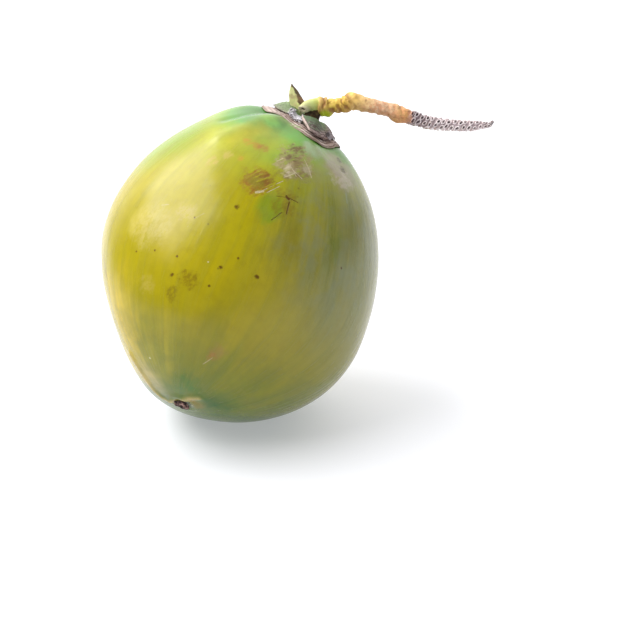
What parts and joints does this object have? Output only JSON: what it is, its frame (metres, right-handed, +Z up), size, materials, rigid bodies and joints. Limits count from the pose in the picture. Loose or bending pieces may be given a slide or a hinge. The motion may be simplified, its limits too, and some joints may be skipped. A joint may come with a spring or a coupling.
{
  "type": "green coconut",
  "caption": "Whole fresh green coconut lying on its blunt tip end, with its perianth of overlapping scales, curved stalk, bract and dried stigma.",
  "frame": {"origin": "centre of the small flat spot that the fruit rests on", "axes": "+Z up off the surface it rests on, +X the way the stalk reaches, -Y the side that shows the long soft ridge"},
  "size_m": [0.22, 0.1634, 0.1873],
  "materials": {
    "husk_skin": "waxy satin skin, green to olive yellow",
    "petal_scale": "dry, striped brown and pink",
    "sepal_scale": "leathery grey-green, browned at the rims",
    "stalk_bark": "knobbly, green to yellow to orange, grey at the tail",
    "bract_scale": "pale green with a dark dry margin",
    "dried_stigma": "dry, dark and crumbly"
  },
  "bodies": {
    "root": {"husk": "husk_skin", "petal_1": "petal_scale", "petal_2": "petal_scale", "petal_3": "petal_scale", "sepal_1": "sepal_scale", "sepal_2": "sepal_scale", "sepal_3": "sepal_scale", "stalk": "stalk_bark", "bract": "bract_scale", "stigma": "dried_stigma"}
  },
  "joints": []
}
